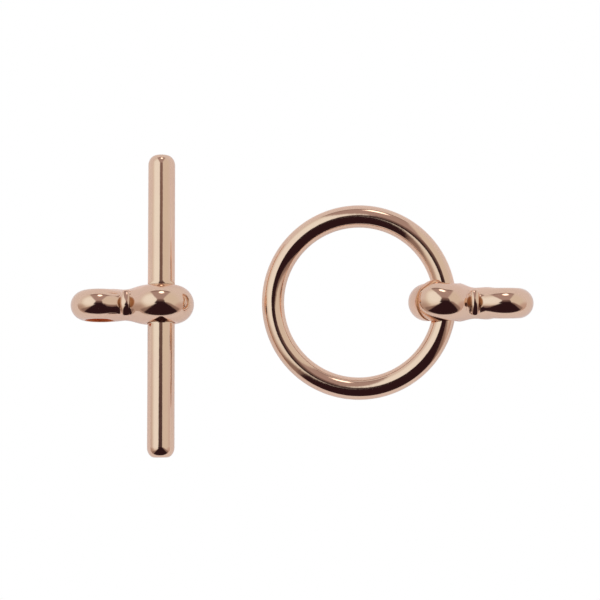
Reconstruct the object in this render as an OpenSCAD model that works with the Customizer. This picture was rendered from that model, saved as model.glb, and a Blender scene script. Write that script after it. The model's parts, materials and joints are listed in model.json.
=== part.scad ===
/* [Ring] */
// Outside diameter of the ring
ring_od = 15.1; // [12:0.1:24]
// Thickness of the ring's round wire
ring_wire = 1.74; // [1.4:0.02:1.9]

/* [Bar] */
// Length of the bar
bar_len = 23.4; // [18:0.2:32]
// Diameter of the bar
bar_d = 2.08; // [1.8:0.02:2.3]
// Rounding at the two ends of the bar
bar_end_round = 0.45; // [0.2:0.05:0.8]
// Depth of the turned seat that keeps the link midway along the bar
bar_seat_depth = 0.1; // [0.07:0.01:0.2]

/* [Clasp eye] */
// Outside diameter of the eye that holds the ring or the bar
clasp_eye_od = 5.02; // [4.8:0.02:5.6]
// Width of the clasp eye along its hole
clasp_eye_w = 2.92; // [2.5:0.02:3.2]
// Angle from the eye's far end up to the seam where it was pinched closed
seam_angle = 39; // [20:1:60]
// Width of the closing seam
seam_gap = 0.05; // [0.02:0.01:0.15]

/* [Chain eye] */
// Outside diameter of the eye that takes the chain
chain_eye_od = 4.5; // [4:0.05:4.9]
// Width of the chain eye along its hole
chain_eye_w = 2.33; // [2:0.01:2.6]
// Diameter of the hole for the chain
chain_hole_d = 2.15; // [1.6:0.05:2.4]

/* [Neck and rib] */
// Distance between the centres of a link's two eyes
eye_pitch = 4.75; // [4.4:0.05:6]
// How far the sides of the neck are hollowed between the eyes
neck_hollow = 0.04; // [0.02:0.01:0.12]
// Height of the small rib's top above the middle of the neck
rib_top = 1.72; // [1.6:0.02:2]
// Thickness of the half-round rib
rib_w = 0.68; // [0.5:0.02:0.8]
// Length of the rib across the neck
rib_len = 2.3; // [1.6:0.05:2.4]
// Chamfer at the mouths of both eyes
mouth_chamfer = 0.07; // [0.03:0.01:0.15]

/* [Fits] */
// Gap all round between the ring's wire and its clasp eye
ring_play = 0.23; // [0.2:0.01:0.35]
// Gap that is left at the outer side of the wire, where the link lies pushed inwards
ring_rest_gap = 0.08; // [0.05:0.01:0.12]
// Gap all round between the bar's seat and its clasp eye
bar_play = 0.05; // [0.02:0.01:0.06]
// Gap at each side of the link in the bar's seat
seat_side_play = 0.05; // [0.03:0.01:0.1]

/* [How the halves lie] */
// Distance from the bar's middle to the ring's centre
halves_apart = 15.2; // [14.9:0.1:24]
// How far the ring's centre lies behind the bar's middle
ring_back = 0.16; // [-1:0.02:1]
// Turn of the bar half on the surface
bar_turn = 0.6; // [-3:0.1:3]
// Direction of the ring's high side, measured round the ring from its link
ring_high_side = -12; // [-40:1:40]

/* [Hidden] */
$fn = 96;
rose_gold = [0.86, 0.64, 0.53];

ring_r = (ring_od - ring_wire) / 2;
ring_eye_hole = ring_wire + 2 * ring_play;
ring_link_shift = ring_play - ring_rest_gap;

bar_seat_d = bar_d - 2 * bar_seat_depth;
bar_seat_len = clasp_eye_w + 2 * seat_side_play;
bar_eye_hole = bar_seat_d + 2 * bar_play;

// Each eye's metal is a round section set at this radius and cut flat by the hole
clasp_sec_off = (clasp_eye_od - clasp_eye_w) / 2;
chain_sec_off = (chain_eye_od - chain_eye_w) / 2;

// The neck runs between the two sections, just inside their faces
neck_inset = 0.02;
neck_start = clasp_sec_off;
neck_end = eye_pitch - chain_sec_off;
neck_r1 = clasp_eye_w / 2 - neck_inset;
neck_r2 = chain_eye_w / 2 - neck_inset;
neck_chord = norm([neck_end - neck_start, neck_r1 - neck_r2]);
neck_arc_r = (pow(neck_chord / 2, 2) + pow(neck_hollow, 2)) / (2 * neck_hollow);
neck_lean = atan2(neck_r2 - neck_r1, neck_end - neck_start);

// The rib stands where the outsides of the two eyes meet
rib_x = eye_pitch * clasp_eye_od / (clasp_eye_od + chain_eye_od);
rib_r = rib_w / 2;
rib_arc_r = rib_top - rib_r;
rib_half_angle = asin((rib_len / 2 - rib_r) / rib_arc_r);

// Height of an eye's centre when the eye stands on the surface and leans by an angle
function clasp_height(lean) = clasp_sec_off * cos(lean) + clasp_eye_w / 2;
function chain_height(lean) = chain_sec_off * cos(lean) + chain_eye_w / 2;
// Dip of a link's long axis that sets both eyes on the surface
function link_dip(lean) =
    asin((clasp_height(lean) - chain_height(lean)) / (eye_pitch * cos(lean)));

// One end of the bar is on the surface and its middle is in the eye
bar_arm = bar_len / 2 - bar_end_round;
bar_drop = clasp_sec_off - bar_d / 2 + bar_end_round;
bar_lift = clasp_eye_w / 2 - bar_end_round;
bar_tilt = asin(bar_lift / norm([bar_arm, bar_drop])) + atan2(bar_drop, bar_arm);

// The ring's low side is on the surface and its link holds the wire up at the other side
ring_spread = ring_r * (1 + cos(ring_high_side));
ring_tilt_level = asin((clasp_height(0) - ring_wire / 2) / ring_spread);
ring_link_lean = asin(sin(ring_high_side) * sin(ring_tilt_level));
ring_tilt = asin((clasp_height(ring_link_lean) - ring_wire / 2) / ring_spread);
ring_height = ring_wire / 2 + ring_r * sin(ring_tilt);
wire_out = ring_r * (pow(cos(ring_high_side), 2) * cos(ring_tilt) + pow(sin(ring_high_side), 2));
wire_side = -ring_r * sin(ring_high_side) * cos(ring_high_side) * (1 - cos(ring_tilt));

// The origin is under the middle of everything
bar_reach = eye_pitch * cos(link_dip(bar_tilt)) * cos(bar_turn) + chain_eye_od / 2;
link_reach = eye_pitch * cos(link_dip(ring_link_lean)) + chain_eye_od / 2;
ring_reach = wire_out - ring_link_shift + link_reach;
bar_x = bar_reach - (bar_reach + halves_apart + ring_reach) / 2;
ring_x = bar_x + halves_apart;

// Solid body of an eye, with its axis along Y
module eye(od, w) {
    rotate([90, 0, 0]) rotate_extrude() intersection() {
        translate([(od - w) / 2, 0]) circle(d = w);
        translate([0, -w]) square([od, 2 * w]);
    }
}

// Cutter for an eye's hole, with a chamfer at each mouth
module eye_hole(d, w) {
    rotate([90, 0, 0]) {
        cylinder(d = d, h = 2 * w, center = true);
        for (turn = [0, 180]) rotate([turn, 0, 0]) translate([0, 0, w / 2 - mouth_chamfer])
            cylinder(d1 = d, d2 = d + 4 * mouth_chamfer, h = 2 * mouth_chamfer);
    }
}

// Turned neck along X, slightly hollow between the eyes
module neck() {
    rotate([0, 90, 0]) rotate_extrude() rotate(90) mirror([0, 1]) difference() {
        polygon([[neck_start, 0], [neck_start, neck_r1], [neck_end, neck_r2], [neck_end, 0]]);
        translate([(neck_start + neck_end) / 2, (neck_r1 + neck_r2) / 2]) rotate(neck_lean)
            translate([0, neck_arc_r - neck_hollow]) circle(r = neck_arc_r, $fn = 720);
    }
}

// Small half-round rib with round ends, above and below the neck
module rib() {
    for (side = [0, 180]) translate([rib_x, 0, 0]) rotate([side, 0, 0]) rotate([0, 90, 0]) {
        rotate([0, 0, 180 - rib_half_angle]) rotate_extrude(angle = 2 * rib_half_angle)
            translate([rib_arc_r, 0]) circle(r = rib_r);
        for (end = [-1, 1]) rotate([0, 0, 180 + end * rib_half_angle])
            translate([rib_arc_r, 0, 0]) sphere(r = rib_r);
    }
}

// Cast end link: clasp eye at the origin, chain eye along +X
module end_link(clasp_hole_d) {
    difference() {
        union() {
            eye(clasp_eye_od, clasp_eye_w);
            translate([eye_pitch, 0, 0]) eye(chain_eye_od, chain_eye_w);
            neck();
            rib();
        }
        eye_hole(clasp_hole_d, clasp_eye_w);
        translate([eye_pitch, 0, 0]) eye_hole(chain_hole_d, chain_eye_w);
        rotate([0, 180 + seam_angle, 0]) translate([0, -clasp_eye_w, -seam_gap / 2])
            cube([clasp_eye_od, 2 * clasp_eye_w, seam_gap]);
    }
}

// Places what belongs to the bar half, drawn with the bar along Y through the origin
module lay_bar_half() {
    translate([bar_x, 0, clasp_height(bar_tilt)]) rotate([-bar_tilt, 0, bar_turn]) children();
}

// Plain round ring
module ring() {
    color(rose_gold) translate([ring_x, ring_back, ring_height])
        rotate([0, -ring_tilt, ring_high_side])
            rotate_extrude() translate([ring_r, 0]) circle(d = ring_wire);
}

// Link that hangs on the ring
module ring_link() {
    color(rose_gold)
        translate([ring_x + wire_out - ring_link_shift, ring_back + wire_side,
                   clasp_height(ring_link_lean)])
            rotate([ring_link_lean, 0, 0]) rotate([0, link_dip(ring_link_lean), 0])
                end_link(ring_eye_hole);
}

// Plain bar with rounded ends and a shallow seat under its link
module bar() {
    color(rose_gold) lay_bar_half() rotate([90, 0, 0]) rotate_extrude() difference() {
        intersection() {
            union() {
                translate([0, -bar_arm]) square([bar_d / 2, 2 * bar_arm]);
                translate([0, -bar_len / 2]) square([bar_d / 2 - bar_end_round, bar_len]);
                for (end = [-1, 1]) translate([bar_d / 2 - bar_end_round, end * bar_arm])
                    circle(r = bar_end_round);
            }
            translate([0, -bar_len]) square([bar_d, 2 * bar_len]);
        }
        translate([bar_seat_d / 2, -bar_seat_len / 2]) square([bar_d, bar_seat_len]);
    }
}

// Link that turns on the bar
module bar_link() {
    color(rose_gold) lay_bar_half() rotate([0, link_dip(bar_tilt), 180]) end_link(bar_eye_hole);
}

ring();
ring_link();
bar();
bar_link();
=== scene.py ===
# %% [markdown]
# A toggle clasp closes a necklace: a straight bar goes end first through a ring and then lies
# across it. Each half hangs on its own cast link, so the clasp is four pieces: ring, ring link,
# bar and bar link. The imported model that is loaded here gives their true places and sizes. It
# could be shown as it is, but polished metal would mirror each of its facets. So everything
# here is a finer skin of metal over it, and the finish: rose gold in a photographer's tent.

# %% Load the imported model
import itertools
import json
import math

import bpy
import numpy as np
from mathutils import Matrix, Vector


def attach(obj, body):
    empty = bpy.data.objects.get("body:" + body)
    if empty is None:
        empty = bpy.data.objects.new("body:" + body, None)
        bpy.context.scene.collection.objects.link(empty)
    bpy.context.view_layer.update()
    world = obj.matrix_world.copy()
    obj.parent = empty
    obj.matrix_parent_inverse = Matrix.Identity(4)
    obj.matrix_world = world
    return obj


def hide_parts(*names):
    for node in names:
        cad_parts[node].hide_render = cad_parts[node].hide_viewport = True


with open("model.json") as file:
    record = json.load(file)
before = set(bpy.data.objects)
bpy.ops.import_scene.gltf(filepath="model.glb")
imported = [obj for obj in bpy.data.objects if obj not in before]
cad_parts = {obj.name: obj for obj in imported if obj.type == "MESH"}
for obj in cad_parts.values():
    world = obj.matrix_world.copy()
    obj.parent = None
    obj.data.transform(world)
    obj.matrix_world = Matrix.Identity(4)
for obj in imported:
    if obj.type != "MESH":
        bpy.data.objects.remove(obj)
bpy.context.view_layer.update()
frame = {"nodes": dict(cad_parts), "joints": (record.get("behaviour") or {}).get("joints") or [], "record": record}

MM = 0.001

# %% [markdown]
# The photographer stood the camera straight above the clasp. A camera looks along its own -Z,
# so with no rotation at all it looks down, with the picture's top towards +Y. A camera without
# perspective would be simpler, but the bar's raised end looks 3% wider than its low end, which
# puts the real one about 100 mm above the metal. The lens then follows from the picture's width.

# %% Camera straight above
PICTURE_WIDTH = 46.56 * MM       # what the picture spans at the height of the ring's middle
RING_MIDDLE_HEIGHT = 1.7 * MM
CAMERA_ABOVE_RING = 100 * MM
CAMERA_SIDE = -0.16 * MM
CAMERA_BACK = 0.345 * MM
SENSOR_WIDTH = 36                # any width does, because the lens is worked out from it
NEAREST = 5 * MM                 # nothing closer than this is drawn
FARTHEST = 5                     # nor anything further away than this, in metres

camera_data = bpy.data.cameras.new("camera")
camera = bpy.data.objects.new("camera", camera_data)
bpy.context.scene.collection.objects.link(camera)
camera.location = (CAMERA_SIDE, CAMERA_BACK, RING_MIDDLE_HEIGHT + CAMERA_ABOVE_RING)
camera_data.sensor_width = SENSOR_WIDTH
camera_data.lens = SENSOR_WIDTH * CAMERA_ABOVE_RING / PICTURE_WIDTH
camera_data.clip_start = NEAREST
camera_data.clip_end = FARTHEST
bpy.context.scene.camera = camera
print("lens:", round(camera_data.lens, 1), "mm")

# %% [markdown]
# Materials in Blender are small machines of nodes. They could be wired by hand, one link at a
# time, but that hides the idea. So this class lets sockets be added and multiplied like
# numbers: each operator adds one Math node, and every other node comes from one method.

# %% Node arithmetic
def pour(socket, value):
    """Gives a socket a link, a number or a colour."""
    if isinstance(value, Shade):
        socket.id_data.links.new(value.socket, socket)
    elif isinstance(value, (tuple, list)) and socket.type == "RGBA":
        socket.default_value = tuple(value) + (1,) * (4 - len(value))
    else:
        socket.default_value = value


class Shade:
    """A node socket that can be used in sums."""

    def __init__(self, socket):
        self.socket = socket

    @staticmethod
    def node(tree, kind, settings=None, sockets=None, out=0):
        """Adds a node: its settings first, then what goes into its sockets."""
        made = tree.nodes.new("ShaderNode" + kind)
        for name, value in (settings or {}).items():
            setattr(made, name, value)
        for name, value in (sockets or {}).items():
            pour(made.inputs[name], value)
        return Shade(made.outputs[out]) if len(made.outputs) else None

    def math(self, operation, first, second):
        """One Math node in the tree that this socket belongs to."""
        numbers = {0: first, 1: second}
        return Shade.node(self.socket.id_data, "Math", {"operation": operation}, numbers)

    def __add__(self, other):
        return self.math("ADD", self, other)

    def __radd__(self, other):
        return self.math("ADD", other, self)

    def __sub__(self, other):
        return self.math("SUBTRACT", self, other)

    def __rsub__(self, other):
        return self.math("SUBTRACT", other, self)

    def __mul__(self, other):
        return self.math("MULTIPLY", self, other)

    def __rmul__(self, other):
        return self.math("MULTIPLY", other, self)


# %% Two helpers for shades
def smooth_step(value, low, high):
    """0 at low and before, 1 at high and beyond, and a soft bend between."""
    settings = {"interpolation_type": "SMOOTHSTEP"}
    sockets = {"Value": value, "From Min": low, "From Max": high}
    return Shade.node(value.socket.id_data, "MapRange", settings, sockets)


def mix_colours(share, first, second):
    """Colour between two, by a share from 0 to 1."""
    colours = {0: share, 6: first, 7: second}      # sockets 6 and 7 are the node's colours
    return Shade.node(share.socket.id_data, "Mix", {"data_type": "RGBA"}, colours, out=2)


# %% [markdown]
# Polished metal has no look of its own, it mirrors the room. Jewellery is photographed in a
# small white tent, and the metal shows what this one was like. Its front was open and nearly
# black up to the camera overhead, with a dim fringe on both sides. Its back corner is dim,
# opens like a V and has one small lamp in it, and the left wall is the brightest. It could be
# built from sheets and lamps. Painted on the sky it mirrors cleanly with few samples, and each
# border can be moved by changing one place.
#
# A place in the sky is given by how many degrees it lies to the right and to the back of
# straight up. The great circle through two places is a border. Which side of it a direction
# lies on is the sign of one dot product.

# %% Sky helpers
world = bpy.data.worlds.new("tent")
bpy.context.scene.world = world
world.use_nodes = True
sky = world.node_tree
sky.nodes.clear()
towards = Shade.node(sky, "TexCoord")
towards = Shade.node(sky, "VectorMath", {"operation": "NORMALIZE"}, {0: towards})
print("sky:", world.name)


def sky_point(right, back):
    """Direction of a place in the sky."""
    from_top = math.radians(math.hypot(right, back))
    turn = math.atan2(back, right)
    across = math.sin(from_top)
    return Vector((across * math.cos(turn), across * math.sin(turn), math.cos(from_top)))


def facing(direction):
    """How far the direction of view agrees with another, from -1 to 1."""
    settings = {"operation": "DOT_PRODUCT"}
    return Shade.node(sky, "VectorMath", settings, {0: towards, 1: direction}, out=1)


def left_of(first, second, soft):
    """1 on the left of the way from one place in the sky to another, and 0 on its right."""
    normal = sky_point(*first).cross(sky_point(*second)).normalized()
    return smooth_step(facing(normal), -soft, soft)


def within(*borders):
    """What lies on the left of every border. A border is two places and its softness."""
    inside = left_of(*borders[0])
    for border in borders[1:]:
        inside = inside * left_of(*border)
    return inside


def glow(place, inner, outer):
    """Round patch of sky: 1 within the inner angle and 0 beyond the outer one."""
    low, high = math.cos(math.radians(outer)), math.cos(math.radians(inner))
    return smooth_step(facing(sky_point(*place)), low, high)


# %% Walls of the tent
HORIZON = (0.74, 0.72, 0.74)
WALL = (0.72, 0.71, 0.66)
WALL_HEIGHTS = 0, 0.55           # heights go from 0 at the horizon to 1 straight up
GLOWS = [                        # place, inner and outer angle, colour
    ((-32, 22), 12, 42, (0.93, 1.03, 1.05)),       # the bright left wall
    ((-74, -38), 8, 38, (0.47, 0.38, 0.34)),       # shade low down at the front's left
    ((75, -32), 5, 35, (0.58, 0.47, 0.44)),        # shade low down at the front's right
]
up = facing((0, 0, 1))
tent = mix_colours(smooth_step(up, *WALL_HEIGHTS), HORIZON, WALL)
for place, inner, outer, colour in GLOWS:
    tent = mix_colours(glow(place, inner, outer), tent, colour)
print("sky nodes after the walls:", len(sky.nodes))

# %% Dim back corner
CORNER = (0.42, 0.34, 0.335)
CORNER_FOOT = (0.20, 0.13, 0.12)
CORNER_BORDERS = [((-42, 80), (-7, 16), 0.05), ((9, 16), (40, 80), 0.05),
                  ((-10, 12), (10, 12), 0.05)]
CORNER_STARTS = 0.12, 0.22       # heights over which it fades in
FOOT_ENDS = 0.32, 0.2            # heights over which its dark foot fades in, downwards
corner = within(*CORNER_BORDERS) * smooth_step(up, *CORNER_STARTS)
corner_colour = mix_colours(smooth_step(up, *FOOT_ENDS), CORNER, CORNER_FOOT)
tent = mix_colours(corner, tent, corner_colour)
print("sky nodes after the corner:", len(sky.nodes))

# %% Open front, its tip and its fringe
OPEN_FRONT = (0.028, 0.012, 0.016)
FRONT_TIP = (0.24, 0.17, 0.16)
FRINGE = (0.28, 0.21, 0.19)
TIP_BORDERS = [((20, 0), (14, 25), 0.04), ((-6, 25), (-17, 0), 0.04),
               ((20, 23), (-10, 23), 0.06), ((-16, -2), (16, -2), 0.03)]
TIP_FADES = 0.03, 0.4            # how far to the back the black gives way to the tip's brown
FRONT_BACK = (14, 5), (-14, 5), 0.05
FRONT_LEFT = (-13, -3), (-49, -47), 0.05
FRONT_RIGHT = (55, -44), (19, 3), 0.05
FRINGE_LEFT = (-22, -14), (-72, -36), 0.08
FRINGE_RIGHT = (60, -24), (21, 8), 0.08
FRONT_STARTS = 0.09, 0.2
tip_colour = mix_colours(smooth_step(facing((0, 1, 0)), *TIP_FADES), OPEN_FRONT, FRONT_TIP)
tent = mix_colours(within(*TIP_BORDERS), tent, tip_colour)
front_side = left_of(*FRONT_BACK) * smooth_step(up, *FRONT_STARTS)
tent = mix_colours(within(FRINGE_LEFT, FRINGE_RIGHT) * front_side, tent, FRINGE)
tent = mix_colours(within(FRONT_LEFT, FRONT_RIGHT) * front_side, tent, OPEN_FRONT)
print("sky nodes after the front:", len(sky.nodes))

# %% Lamp, and white behind the clasp
LAMP = (2.4, 2.3, 2.2)
LAMP_PLACE = (4, 66)
LAMP_INNER, LAMP_OUTER = 4, 9
BACKDROP = (1, 1, 1)
tent = mix_colours(glow(LAMP_PLACE, LAMP_INNER, LAMP_OUTER), tent, LAMP)
seen_straight = Shade.node(sky, "LightPath")
backdrop = Shade.node(sky, "Background", sockets={"Color": BACKDROP, "Strength": 1})
tent_light = Shade.node(sky, "Background", sockets={"Color": tent, "Strength": 1})
both = Shade.node(sky, "MixShader", sockets={0: seen_straight, 1: tent_light, 2: backdrop})
Shade.node(sky, "OutputWorld", sockets={"Surface": both})
print("sky nodes in all:", len(sky.nodes))

# %% [markdown]
# The floor is a white sheet. In the photograph it is burnt out to pure white, while the metal
# still mirrors it as a middle tone. One bright material can't do both, so it has two shaders:
# what the camera sees straight is plain white light, and everything else, such as the metal,
# meets a matt sheet. The matt sheet glows a little, for the light that a thin sheet lets
# through. The Standard view keeps white white, where others would grey it.

# %% Floor
FLOOR_HALF = 400 * MM
floor_mesh = bpy.data.meshes.new("floor")
corners = [(-FLOOR_HALF, -FLOOR_HALF, 0), (FLOOR_HALF, -FLOOR_HALF, 0),
           (FLOOR_HALF, FLOOR_HALF, 0), (-FLOOR_HALF, FLOOR_HALF, 0)]
floor_mesh.from_pydata(corners, [], [(0, 1, 2, 3)])
floor = bpy.data.objects.new("floor", floor_mesh)
bpy.context.scene.collection.objects.link(floor)
print("floor width:", 2 * FLOOR_HALF, "m")

# %% White sheet
SHEET = (0.85, 0.83, 0.83)
SHEET_GLOW = (0.38, 0.38, 0.41)
paper = bpy.data.materials.new("white_sheet")
paper.use_nodes = True
paper_tree = paper.node_tree
paper_tree.nodes.clear()
matt = Shade.node(paper_tree, "BsdfDiffuse", sockets={"Color": SHEET})
shine_through = Shade.node(paper_tree, "Emission", sockets={"Color": SHEET_GLOW, "Strength": 1})
matt = Shade.node(paper_tree, "AddShader", sockets={0: matt, 1: shine_through})
white = Shade.node(paper_tree, "Emission", sockets={"Color": BACKDROP, "Strength": 1})
seen_straight = Shade.node(paper_tree, "LightPath")
sheet = Shade.node(paper_tree, "MixShader", sockets={0: seen_straight, 1: matt, 2: white})
Shade.node(paper_tree, "OutputMaterial", sockets={"Surface": sheet})
floor_mesh.materials.append(paper)

bpy.context.scene.view_settings.view_transform = "Standard"
bpy.context.scene.view_settings.look = "None"
print("sheet nodes:", len(paper_tree.nodes))

# %% [markdown]
# Rose gold is gold with copper in it, plated here over brass. Plating is never perfect: its
# tone drifts a little, and the last polish leaves soft clouds and fine hair scratches. These
# could be painted, but noise gives them at any size and from all sides. It is read at places
# on the piece itself, so it moves with the piece.

# %% Rose gold and its grain
PALE_GOLD = (0.87, 0.63, 0.473)
PINK_GOLD = (0.86, 0.607, 0.464)
TONE_GRAIN = 2.5, 3              # size of its lumps in mm, and how fine their detail goes
CLOUD_GRAIN = 1.4, 4
HAIR_GRAIN = 0.5, 3, (1, 9, 2)   # squeezed, so that the lumps are hairs along X
CROSS_HAIR_GRAIN = 0.6, 3, (8, 1, 2)
TONE_SHOWS = 0.3, 0.7            # the noise between which each of them comes out
CLOUD_SHOWS = 0.35, 0.75
HAIR_SHOWS = 0.62, 0.7
CROSS_HAIR_SHOWS = 0.64, 0.72

rose_gold = bpy.data.materials.new("polished_rose_gold")
rose_gold.use_nodes = True
metal = rose_gold.node_tree
metal.nodes.clear()
place = Shade.node(metal, "TexCoord", out=3)
place_mm = Shade.node(metal, "VectorMath", {"operation": "SCALE"}, {0: place, "Scale": 1 / MM})


def grain(size_mm, detail, squeeze=(1, 1, 1)):
    """Noise whose lumps are about size_mm across, from 0 to 1."""
    squeezed = Shade.node(metal, "VectorMath", {"operation": "MULTIPLY"}, {0: place_mm, 1: squeeze})
    sockets = {"Vector": squeezed, "Scale": 1 / size_mm, "Detail": detail}
    return Shade.node(metal, "TexNoise", sockets=sockets)


tone = smooth_step(grain(*TONE_GRAIN), *TONE_SHOWS)
hairs = smooth_step(grain(*HAIR_GRAIN), *HAIR_SHOWS)
hairs = hairs + smooth_step(grain(*CROSS_HAIR_GRAIN), *CROSS_HAIR_SHOWS)
clouds = smooth_step(grain(*CLOUD_GRAIN), *CLOUD_SHOWS)
print("grain nodes:", len(metal.nodes))

# %% [markdown]
# In creases the mirror meets itself again and again and goes deep orange, in the pockets
# beside the ribs it goes brown, and in the holes it goes orange too. Light alone would give
# some of this, but a render follows few bounces, so these colours are painted reflection and
# painted shade. Polish never quite reaches any of them either, so they are rougher too. So each
# point of a link carries three numbers, for crease, pocket and bore, that are worked out with
# its shape further down, and the material blends its painted colours and roughness by them.

# %% Colour with painted reflection and shade, and polish
# painted reflection and shade: the deep orange of creases and of the seam, where the mirror meets itself again and
# again
CREASE_PAINTED_REFLECTION = (0.84, 0.38, 0.17)
# painted shade: the brown of the pockets beside the rib
POCKET_PAINTED_SHADE = (0.42, 0.15, 0.055)
# painted reflection: the orange that the mirror shows inside the holes
BORE_PAINTED_REFLECTION = (0.80, 0.25, 0.07)
POLISH = 0.07
CLOUD_ROUGH, HAIR_ROUGH = 0.03, 0.05
CREASE_ROUGH, POCKET_ROUGH, BORE_ROUGH = 0.4, 0.3, 0.45
DULL_SHARE = 0.5                 # how much of their mirror creases and bores lose
crease, pocket, bore = [Shade.node(metal, "Attribute", {"attribute_name": name}, out=2)
                        for name in ("crease", "pocket", "bore")]
colour = mix_colours(tone, PALE_GOLD, PINK_GOLD)
# painted reflection and shade in creases, pockets and holes, over the metal's own tone
colour = mix_colours(crease, colour, CREASE_PAINTED_REFLECTION)
colour = mix_colours(pocket, colour, POCKET_PAINTED_SHADE)
colour = mix_colours(bore, colour, BORE_PAINTED_REFLECTION)
roughness = POLISH + CLOUD_ROUGH * clouds + HAIR_ROUGH * hairs
roughness = roughness + CREASE_ROUGH * crease + POCKET_ROUGH * pocket + BORE_ROUGH * bore
metallic = 1 - DULL_SHARE * crease.math("MAXIMUM", crease, bore)
print("nodes with colour and polish:", len(metal.nodes))

# %% Waves in the metal
LONG_WAVES = 1.1, 1              # size in mm and detail
SHORT_WAVES = 0.35, 2
SHORT_SHARE, HAIR_SHARE = 0.5, 0.02
WAVE_DEPTH = 0.0055 * MM         # enough to make the edges of reflections wander
waves = grain(*LONG_WAVES) + SHORT_SHARE * grain(*SHORT_WAVES) + HAIR_SHARE * hairs
bump = Shade.node(metal, "Bump", sockets={"Height": waves, "Distance": WAVE_DEPTH, "Strength": 1})
surface = {"Base Color": colour, "Roughness": roughness, "Metallic": metallic, "Normal": bump}
skin = Shade.node(metal, "BsdfPrincipled", sockets=surface)
Shade.node(metal, "OutputMaterial", sockets={"Surface": skin})
print("metal nodes in all:", len(metal.nodes))

# %% [markdown]
# Each piece is made again from finer mesh, and its place and size could be typed in. Instead
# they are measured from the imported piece, so that the two can't drift apart. The helpers here
# read a node's points and turn them into a frame of the piece's own, in millimetres.

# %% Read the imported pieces
def node_points(name):
    """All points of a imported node, in mm."""
    vertices = frame["nodes"][name].data.vertices
    flat = np.zeros(len(vertices) * 3)
    vertices.foreach_get("co", flat)
    return flat.reshape(-1, 3) / MM


def own_frame(along, across):
    """Rotation whose columns are: along, across made square to it, and their cross product."""
    along = along / np.linalg.norm(along)
    up_way = np.cross(along, across)
    up_way = up_way / np.linalg.norm(up_way)
    return np.column_stack([along, np.cross(up_way, along), up_way])


def own_box(points, turn):
    """Middle and half sizes of the box that fits round the points in a turned frame."""
    local = points @ turn
    low, high = local.min(0), local.max(0)
    return turn @ (low + high) / 2, (high - low) / 2


joints = {joint["child"]: joint for joint in frame["joints"]}
mounts = {mount["name"]: mount for mount in frame["record"]["mounts"]}
print("joints:", sorted(joints), "mounts:", sorted(mounts))

# %% Make a finished piece
def finished_piece(name, points, faces, normals, turn, origin, marks=None):
    """Smooth metal piece from points in mm in its own frame, with its marks at each point."""
    mesh = bpy.data.meshes.new(name)
    placed = (points @ turn.T + origin) * MM
    mesh.from_pydata(placed.tolist(), [], faces.tolist())
    mesh.shade_smooth()
    mesh.normals_split_custom_set_from_vertices((normals @ turn.T).tolist())
    for mark, values in (marks or {}).items():
        mesh.attributes.new(mark, "FLOAT", "POINT").data.foreach_set("value", values)
    mesh.materials.append(rose_gold)
    piece = bpy.data.objects.new(name, mesh)
    bpy.context.scene.collection.objects.link(piece)
    print(name, "has", len(points), "points")
    return piece


def tube_grid(rows, columns, closed):
    """Faces of a grid of points that is closed round its columns, and along its rows if said."""
    row = np.arange(rows if closed else rows - 1)[:, None]
    column = np.arange(columns)[None, :]
    next_row, next_column = (row + 1) % rows, (column + 1) % columns
    around = [row * columns + column, next_row * columns + column,
              next_row * columns + next_column, row * columns + next_column]
    return np.stack(around, -1).reshape(-1, 4)


# %% [markdown]
# The ring is round wire bent into a circle. It lies tilted, with its low side on the floor and
# its high side held up in the link. A torus from Blender's menu would do for the shape, but
# this one is written out, because then each point's exact normal is known too. The ring's
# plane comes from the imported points: the direction in which they spread least is its axis.

# %% Ring's place and size
ring_points = node_points("ring")
spread = np.linalg.svd(ring_points - ring_points.mean(0), full_matrices=False)[2]
ring_axis = spread[2] * np.sign(spread[2][2])
ring_along = np.cross([0, 1, 0], ring_axis)
ring_turn = own_frame(ring_along, np.cross(ring_axis, ring_along))
ring_middle, ring_half = own_box(ring_points, ring_turn)
wire_r = ring_half[2]
ring_r = ring_half[0] - wire_r
print("ring radius", round(ring_r, 3), "wire radius", round(wire_r, 3))

# %% Ring
RING_STEPS, WIRE_STEPS = 320, 72
round_ring = np.linspace(0, 2 * np.pi, RING_STEPS, endpoint=False)[:, None]
round_wire = np.linspace(0, 2 * np.pi, WIRE_STEPS, endpoint=False)[None, :]
normals = np.stack([np.cos(round_ring) * np.cos(round_wire),
                    np.sin(round_ring) * np.cos(round_wire),
                    np.sin(round_wire) + 0 * round_ring], -1).reshape(-1, 3)
middle_line = np.stack([np.cos(round_ring), np.sin(round_ring), 0 * round_ring], -1)
points = middle_line.repeat(WIRE_STEPS, 1).reshape(-1, 3) * ring_r + normals * wire_r
ring = finished_piece("ring_wire", points, tube_grid(RING_STEPS, WIRE_STEPS, True), normals,
                      ring_turn, ring_middle)
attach(ring, "ring_and_bar")
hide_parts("ring")

# %% [markdown]
# The bar was turned on a lathe: a flat end, a rounded corner, the long side and the shallow
# seat that keeps the link in the middle. Polishing then wore the corners, more along the bar
# than across it. A cylinder with a bevel has round corners only, so one outline is drawn here
# and spun round the axis, with a quarter of an ellipse at the corner. Half of the outline is
# walked from the end inwards, and the other half mirrors it.

# %% Bar's place and size
TINY = 1e-3                      # mm, less than can be seen
bar_points = node_points("bar")
bar_turn = own_frame(np.array(joints["bar_link"]["axis"]), [1, 0, 0])
bar_middle, (bar_half, bar_r, _) = own_box(bar_points, bar_turn)
bar_local = (bar_points - bar_middle) @ bar_turn
flat_end = bar_local[:, 0] > bar_half - TINY
bar_corner = bar_r - np.hypot(bar_local[flat_end, 1], bar_local[flat_end, 2]).max()
shoulders = np.abs(bar_local[:, 0]) < bar_half / 2
seat_half = np.abs(bar_local[shoulders, 0]).max()
seat_r = np.hypot(bar_local[shoulders, 1], bar_local[shoulders, 2]).min()
print("bar radius", round(bar_r, 3), "half length", round(bar_half, 3), "corner",
      round(bar_corner, 3), "seat", round(seat_r, 3), "by", round(seat_half, 3))

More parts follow.
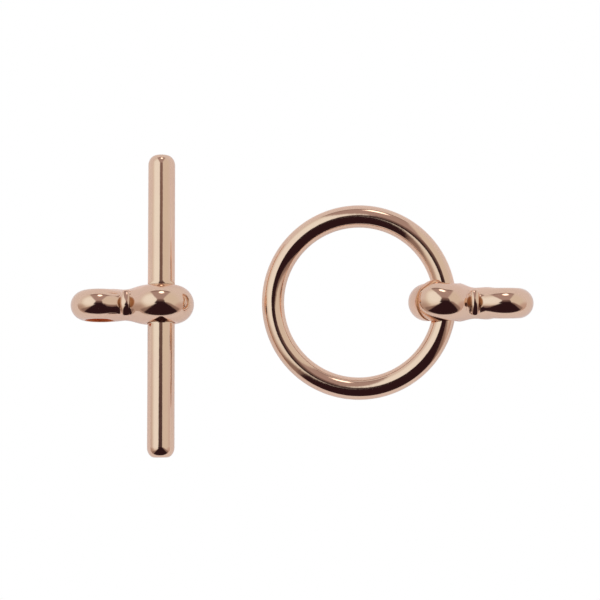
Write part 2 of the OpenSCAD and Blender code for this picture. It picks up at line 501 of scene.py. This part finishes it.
# %% Bar's outline, as place along, radius and the normal's two parts
CORNER_DEEP = 1.3                # polishing wore the corner this much deeper
CORNER_LONG = 1.75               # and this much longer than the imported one
END_STEPS, CORNER_STEPS, SIDE_STEPS = 8, 24, 40
corner_deep, corner_long = CORNER_DEEP * bar_corner, CORNER_LONG * bar_corner
flat_radii = np.linspace(TINY, bar_r - corner_deep, END_STEPS)[:-1]
end_face = [(bar_half, r, 1, 0) for r in flat_radii]
corner_line = []
for angle in np.radians(np.linspace(90, 0, CORNER_STEPS + 1)):
    normal = Vector((math.sin(angle) / corner_long, math.cos(angle) / corner_deep)).normalized()
    x = bar_half - corner_long + corner_long * math.sin(angle)
    r = bar_r - corner_deep + corner_deep * math.cos(angle)
    corner_line.append((x, r, normal.x, normal.y))
side_places = np.linspace(bar_half - corner_long, seat_half, SIDE_STEPS)[1:]
side_line = [(x, bar_r, 0, 1) for x in side_places]
seat_line = [(seat_half, bar_r, -1, 0), (seat_half, seat_r, -1, 0), (seat_half, seat_r, 0, 1)]
half_outline = np.array(end_face + corner_line + side_line + seat_line)
outline = np.concatenate([half_outline, half_outline[::-1] * [-1, 1, -1, 1]])
print("corner", round(corner_deep, 3), "deep and", round(corner_long, 3), "long")

# %% Bar
BAR_STEPS = 96
round_bar = np.linspace(0, 2 * np.pi, BAR_STEPS, endpoint=False)[None, :]
x, r, normal_x, normal_r = outline.T[:, :, None]
points = np.stack([x + 0 * round_bar, r * np.cos(round_bar), r * np.sin(round_bar)], -1)
normals = np.stack([normal_x + 0 * round_bar, normal_r * np.cos(round_bar),
                    normal_r * np.sin(round_bar)], -1)
bar = finished_piece("bar_rod", points.reshape(-1, 3), tube_grid(len(outline), BAR_STEPS, False),
                     normals.reshape(-1, 3), bar_turn, bar_middle)
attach(bar, "ring_and_bar")
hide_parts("bar")

# %% [markdown]
# The links are castings with no straight edge in them, so no lathe or extrusion fits, and
# sculpting would leave dents that a mirror shows. A field does: a function that gives, for
# any point, its distance to the metal, negative inside. Shapes join by taking the smaller
# distance, and a soft minimum leaves a fillet like the one that the wax model had. The surface
# is where the field is zero. Its slope there gives the exact normal, so the mirror is clean.

# %% Fields
def soft_min(a, b, fillet):
    """Joins two shapes, with a fillet where their distances are nearly the same."""
    share = np.clip(0.5 + 0.5 * (b - a) / fillet, 0, 1)
    return b * (1 - share) + a * share - fillet * share * (1 - share)


def soft_max(a, b, fillet):
    """Keeps what is in both shapes, with its new edge rounded off."""
    return -soft_min(-a, -b, fillet)


def ease(value, low, high):
    """0 at low and before, 1 at high and beyond, and a soft bend between."""
    share = np.clip((value - low) / (high - low), 0, 1)
    return share * share * (3 - 2 * share)


def tube(from_axis, y, sweep_r, tube_r):
    """Round tube bent into a circle, by distance from its axis and along it."""
    return np.hypot(from_axis - sweep_r, y) - tube_r


# %% Net over a field
def surface_net(field, low, high, step):
    """Points and four-sided faces where the field crosses zero, on a grid of the given step."""
    axes = [np.arange(a, b + step, step) for a, b in zip(low, high)]
    inside = field(*np.meshgrid(*axes, indexing="ij")) < 0
    corner_sum = sum(inside[tuple(slice(c, n - 1 + c) for c, n in zip(shift, inside.shape))]
                     .astype(int) for shift in itertools.product((0, 1), repeat=3))
    crossed = (corner_sum > 0) & (corner_sum < 8)
    number = np.full(crossed.shape, -1)
    number[crossed] = np.arange(crossed.sum())
    points = np.argwhere(crossed) * step + np.array([a[0] for a in axes]) + step / 2
    faces = []
    for axis in range(3):
        first = np.take(inside, range(inside.shape[axis] - 1), axis)
        second = np.take(inside, range(1, inside.shape[axis]), axis)
        edges = np.argwhere(first != second)
        b, c = (axis + 1) % 3, (axis + 2) % 3
        around = []
        for back_b, back_c in ((1, 1), (0, 1), (0, 0), (1, 0)):
            cell = edges.copy()
            cell[:, b] -= back_b
            cell[:, c] -= back_c
            around.append(number[tuple(cell.T)])
        face = np.stack(around, -1)
        outward = first[tuple(edges.T)]
        faces.append(np.where(outward[:, None], face, face[:, ::-1]))
    return points, np.concatenate(faces)


# %% From the net onto the surface
LEAST_SLOPE = 0.05               # keeps points from leaping where the field is nearly flat


def slope(field, points, reach=1e-4):
    """Direction and steepness in which the field rises, by looking a little to each side."""
    x, y, z = points.T
    return np.stack([field(x + reach, y, z) - field(x - reach, y, z),
                     field(x, y + reach, z) - field(x, y - reach, z),
                     field(x, y, z + reach) - field(x, y, z - reach)], -1) / (2 * reach)


def onto_surface(field, points, rounds=6):
    """Slides points along the slope until the field is zero at them."""
    for _ in range(rounds):
        rise = slope(field, points)
        gap = field(*points.T)[:, None]
        points = points - gap * rise / np.maximum((rise ** 2).sum(1), LEAST_SLOPE)[:, None]
    return points


# %% [markdown]
# Both links came from the same wax model: a big clasp eye, a smaller chain eye, a neck that
# tapers from one to the other and a small rib across it where the two eyes meet. Their sizes
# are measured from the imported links, each in a frame of its own: the clasp eye's middle is the
# origin, X runs to the chain eye, Y along the holes and Z up.

# %% Read a link's sizes
def link_sizes(name, chain_mount):
    """Origin, rotation and sizes of a packed link, in mm."""
    origin = np.array(joints[name]["pos_m"]) / MM
    chain_eye = np.array(mounts[chain_mount]["pos_m"]) / MM
    turn = own_frame(chain_eye - origin, np.array(joints[name]["axis"]))
    local = (node_points(name) - origin) @ turn
    pitch = np.linalg.norm(chain_eye - origin)
    far_half = local[:, 0] > pitch
    size = {
        "pitch": pitch,
        "clasp_r": -local[:, 0].min(),
        "clasp_tube": np.abs(local[local[:, 0] < 0, 1]).max(),
        "clasp_hole": np.hypot(local[:, 0], local[:, 2]).min(),
        "chain_r": local[:, 0].max() - pitch,
        "chain_tube": np.abs(local[far_half, 1]).max(),
        "chain_hole": mounts[chain_mount]["dims"]["r_mm"],
    }
    print(name, {key: round(float(value), 3) for key, value in size.items()})
    return origin, turn, size


# %% [markdown]
# A clasp eye was cast open, hung on its ring or bar and pinched shut with pliers. On the ring
# the two jaws meet badly: the upper one stands out a fifth of a millimetre to the back, the
# lower one at the far end, and a groove is left between them. Two separate solids would leave
# a gap right through. Here each jaw is the same tube, moved more and more towards the seam, so
# the eye stays whole where the jaws are one piece of metal.

# %% Clasp eye with a seam
SEAM_ANGLE = 31                  # degrees up from the eye's far end
SEAM_GROOVE = 0.06               # radius of the groove where the jaws meet
SEAM_EDGE = 0.09                 # rounding of its edges
SEAM_STEP = 0.1                  # one jaw takes over from the other so far to each side
JAW_SHIFT = 0.22                 # how far the upper jaw stands out on its back side
SHIFT_ANGLES = 95, 50            # it begins at the first angle and is full at the second
SHIFT_SIDES = -0.4, 0.9          # and grows from the front side to the back side
JAW_SPREAD = 0.17                # how far the lower jaw stands out at the far end
SPREAD_GROWS = -100, -20         # angles over which that begins
SPREAD_FADES = -25, SEAM_ANGLE + 25      # and ends


def split_eye(x, y, z, size):
    """Eye in two jaws that meet badly at the seam. Angles go up from the eye's far end."""
    angle = np.degrees(np.arctan2(z, -x))
    from_axis = np.hypot(x, z)
    past_seam = (angle - SEAM_ANGLE + 180) % 360 - 180
    beyond = from_axis * np.sin(np.radians(np.clip(past_seam, -90, 90)))
    upper = ease(beyond, -SEAM_STEP, SEAM_STEP)
    shift = JAW_SHIFT * upper * (angle > 0) * ease(angle, *SHIFT_ANGLES) * ease(y, *SHIFT_SIDES)
    spread = JAW_SPREAD * ease(angle, *SPREAD_GROWS) * (1 - ease(angle, *SPREAD_FADES))
    sweep_r = size["clasp_r"] - size["clasp_tube"] + spread * (1 - upper)
    eye = tube(from_axis, y - shift, sweep_r, size["clasp_tube"])
    return soft_max(eye, SEAM_GROOVE - np.hypot(beyond, eye), SEAM_EDGE)


# %% [markdown]
# On the bar the jaws meet well. The seam was soldered and polished over, and only a small
# D-shaped mark is left on its upper side: a straight line that wanders a little, and an arc
# that is wider at its top. A bump map could draw it, but only a real groove shades itself, so
# two thin round tubes are cut out of the eye, one along the line and one along the arc.

# %% Clasp eye with a soldered mark
MARK_ANGLE = 36.5                # degrees up from the eye's far end to the straight side
MARK_R = 0.5
MARK_ARC = 0.05                  # radius of the groove along the arc
MARK_FLARE = 0.07                # and how much wider it is at the arc's top
MARK_LINE = 0.045                # radius of the groove along the straight side
MARK_WANDER = 0.03               # which strays so far from straight
MARK_WAVES = 9
MARK_EDGE = 0.08


def mended_eye(x, y, z, size):
    """Eye whose seam was closed, down to a D-shaped mark on its upper side."""
    eye = tube(np.hypot(x, z), y, size["clasp_r"] - size["clasp_tube"], size["clasp_tube"])
    along = (math.radians(MARK_ANGLE) - np.arctan2(z, -x)) * size["clasp_r"]
    past_end = np.hypot(along, np.abs(y) - MARK_R)
    from_arc = np.where(along > 0, np.hypot(along, y) - MARK_R, past_end)
    wander = MARK_WANDER * np.sin(MARK_WAVES * y)
    from_line = np.hypot(along + wander, np.maximum(np.abs(y) - MARK_R, 0))
    arc = np.hypot(from_arc, eye) - MARK_ARC - MARK_FLARE * np.clip(along / MARK_R, 0, 1)
    line = np.hypot(from_line, eye) - MARK_LINE
    return soft_max(soft_max(eye, -arc, MARK_EDGE), -line, MARK_EDGE)


# %% [markdown]
# The neck tapers from the clasp eye to the chain eye, a little slimmer than both. The rib was
# a strip of wax laid over it, above and below: its top is gently domed and it ends a little
# way down each side. Both are fields as well, so they melt into the eyes as wax does.

# %% Neck
NECK_UNDER_CLASP = 0.12          # how much slimmer than the clasp eye's round the neck starts
NECK_UNDER_CHAIN = 0.08          # and how much slimmer than the chain eye's it ends
NECK_SWELL = 0.035               # how much fuller it is halfway


def neck_field(x, y, z, size):
    """Neck that tapers from one eye to the other."""
    start = size["clasp_r"] - size["clasp_tube"]
    end = size["pitch"] - (size["chain_r"] - size["chain_tube"])
    first, last = size["clasp_tube"] - NECK_UNDER_CLASP, size["chain_tube"] - NECK_UNDER_CHAIN
    share = ease(x, start, end)
    girth = first + (last - first) * share + NECK_SWELL * 4 * share * (1 - share)
    past_ends = x - np.clip(x, start, end)
    return np.sqrt(past_ends ** 2 + y ** 2 + z ** 2) - girth


# %% Rib
RIB_TOP = 1.72                   # how far the rib's top is from the neck's middle
RIB_HALF_WIDTH = 0.32
RIB_CROWN = 1.1                  # radius of its gently domed top
RIB_ANGLE = 41                   # how far it reaches round the neck to each side
RIB_SHOULDER, RIB_END = 0.22, 0.3      # roundings of its long edges and its ends


def waist_place(size):
    """Where the two eyes would touch, in mm from the clasp eye's middle."""
    return size["pitch"] * size["clasp_r"] / (size["clasp_r"] + size["chain_r"])


def rib_field(x, y, z, size):
    """Rib across the neck, above and below, with round shoulders."""
    aside = np.abs(x - waist_place(size))
    height = np.hypot(y, z)
    lean = np.arctan2(np.abs(y), np.abs(z))
    top = height - RIB_TOP + aside ** 2 / (2 * RIB_CROWN)
    past_end = height * (lean - math.radians(RIB_ANGLE))
    return soft_max(soft_max(top, aside - RIB_HALF_WIDTH, RIB_SHOULDER), past_end, RIB_END)


# %% [markdown]
# Beside the rib, on both sides, lies a shallow D-shaped pocket, and the one on the clasp
# eye's side is the longer one. Its brown is painted shade, for the light that the mirror loses
# in there, and no polishing wheel gets in there, so it is rougher as well. It could be cut with
# a shape of its own, but a mask is enough: the surface sinks by it, and the painted shade and
# the roughness follow it.

# %% Pockets
POCKET_HALF = 0.44               # half length across the neck
POCKET_CLASP, POCKET_CHAIN = 0.44, 0.26      # how far they go from the rib towards each eye
POCKET_ROUND = -1.3, -0.65       # how softly their round side ends
POCKET_RIM = -0.06, 0.08         # and the straight side at the rib, in mm
POCKET_DEPTH = 0.01


def pockets(x, y, size):
    """1 in the D-shaped pockets on both sides of the rib, and 0 outside."""
    beside = x - waist_place(size)
    reach = np.where(beside < 0, POCKET_CLASP, POCKET_CHAIN)
    across = (np.abs(beside) - RIB_HALF_WIDTH) / reach
    round_side = ease(-across ** 2 - (y / POCKET_HALF) ** 2, *POCKET_ROUND)
    return round_side * ease(across * reach, *POCKET_RIM)


# %% [markdown]
# A whole link joins its eyes, neck and rib, sinks the pockets and cuts the two holes last, so
# that no fillet fills them. The fillet between the eyes is much wider above and below than at
# the sides, which makes the broad saddle under the rib. The ring's link came out of its mould
# a little out of true: its waist lies nearer the clasp eye, it bends slightly and its saddle
# is shallower. Instead of a second set of shapes, the space that they are drawn in is moved.

# %% A whole link's field
SIDE_FILLET = 0.35
ABOVE_FULL = 0.7                 # share of height at which the saddle is as wide as it gets
NECK_FILLET, RIB_FILLET = 0.5, 0.16
CLASP_HOLE_EDGE, CHAIN_HOLE_EDGE = 0.3, 0.15
BEND_PLACES = 1.0, 2.5           # the bend lies between these, along the link


def move_waist(x, size, shift):
    """Moves all that lies at the waist along the link, and leaves the eyes' middles in place."""
    waist = waist_place(size)
    share = np.where(x < waist, x / waist, (size["pitch"] - x) / (size["pitch"] - waist))
    return x - shift * ease(share, 0, 1)


def link_field(size, clasp_eye, waist_shift, bend, saddle):
    """Field of a whole link with the given clasp eye, and how far it is out of true."""
    def field(x, y, z):
        from_clasp, from_chain = np.hypot(x, z), np.hypot(x - size["pitch"], z)
        x, y = move_waist(x, size, waist_shift), y + bend * ease(x, *BEND_PLACES)
        chain_sweep = size["chain_r"] - size["chain_tube"]
        chain_eye = tube(np.hypot(x - size["pitch"], z), y, chain_sweep, size["chain_tube"])
        above = ease(z ** 2 / (y ** 2 + z ** 2 + TINY ** 2), 0, ABOVE_FULL)
        body = soft_min(clasp_eye(x, y, z, size), chain_eye, SIDE_FILLET + saddle * above)
        body = soft_min(body, neck_field(x, y, z, size), NECK_FILLET)
        body = soft_min(body, rib_field(x, y, z, size), RIB_FILLET)
        body = body + POCKET_DEPTH * pockets(x, y, size)
        body = soft_max(body, size["clasp_hole"] - from_clasp, CLASP_HOLE_EDGE)
        return soft_max(body, size["chain_hole"] - from_chain, CHAIN_HOLE_EDGE)
    return field


# %% Marks for painted reflection, painted shade and roughness
CREASE_REACH = 0.07              # mm to each side in which a hollow is felt
HOLLOWS = 1.0, 6.0               # how hollow a faint and a full crease are
RIB_CLEAR = 0.4, 0.7             # no crease is marked this near the rib's middle
SEAM_SHADE_REACH = 0.2, 0.06            # mm from the seam at which its painted orange shade begins and is full
BORE_REFLECTION_REACH = 0.15, 0.02           # and the same for the painted orange reflection in a hole, from its wall


def link_marks(field, points, size, clasp_eye, waist_shift):
    """Creases, pockets that polish missed, and holes, from 0 to 1, for painted reflection and shade."""
    x, y, z = points.T
    at_rib = move_waist(x, size, waist_shift)
    around = CREASE_REACH * np.vstack([np.eye(3), -np.eye(3)])
    hollow = -sum(field(*(points + shift).T) for shift in around) / CREASE_REACH ** 2
    crease = ease(hollow, *HOLLOWS) * ease(np.abs(at_rib - waist_place(size)), *RIB_CLEAR)
    if clasp_eye is split_eye:
        from_seam = np.hypot(x, z) * (np.arctan2(z, -x) - math.radians(SEAM_ANGLE))
        crease = np.maximum(crease, ease(np.abs(from_seam), *SEAM_SHADE_REACH))
    from_hole = np.minimum(np.hypot(x, z) - size["clasp_hole"],
                           np.hypot(x - size["pitch"], z) - size["chain_hole"])
    return {"crease": crease, "pocket": pockets(at_rib, y, size),
            "bore": ease(from_hole, *BORE_REFLECTION_REACH)}


# %% Make the two links
NET_STEP = 0.048
NET_MARGIN = 0.4                 # the net's box is this much larger than the link


def make_link(name, node, chain_mount, clasp_eye, waist_shift, bend, saddle):
    """Dresses one packed link: net, points on the surface, normals, marks and piece."""
    origin, turn, size = link_sizes(node, chain_mount)
    field = link_field(size, clasp_eye, waist_shift, bend, saddle)
    reach, half_width = size["clasp_r"] + NET_MARGIN, size["clasp_tube"] + NET_MARGIN
    far_end = size["pitch"] + size["chain_r"] + NET_MARGIN
    points, faces = surface_net(field, (-reach, -half_width, -reach),
                                (far_end, half_width, reach), NET_STEP)
    points = onto_surface(field, points)
    rise = slope(field, points)
    normals = rise / np.linalg.norm(rise, axis=1)[:, None]
    marks = link_marks(field, points, size, clasp_eye, waist_shift)
    piece = finished_piece(name, points, faces, normals, turn, origin, marks)
    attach(piece, node)
    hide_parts(node)


make_link("ring_end_link", "ring_link", "ring_chain_eye", split_eye,
          waist_shift=-0.3, bend=0.07, saddle=1.15)
make_link("bar_end_link", "bar_link", "bar_chain_eye", mended_eye,
          waist_shift=0, bend=0, saddle=1.45)
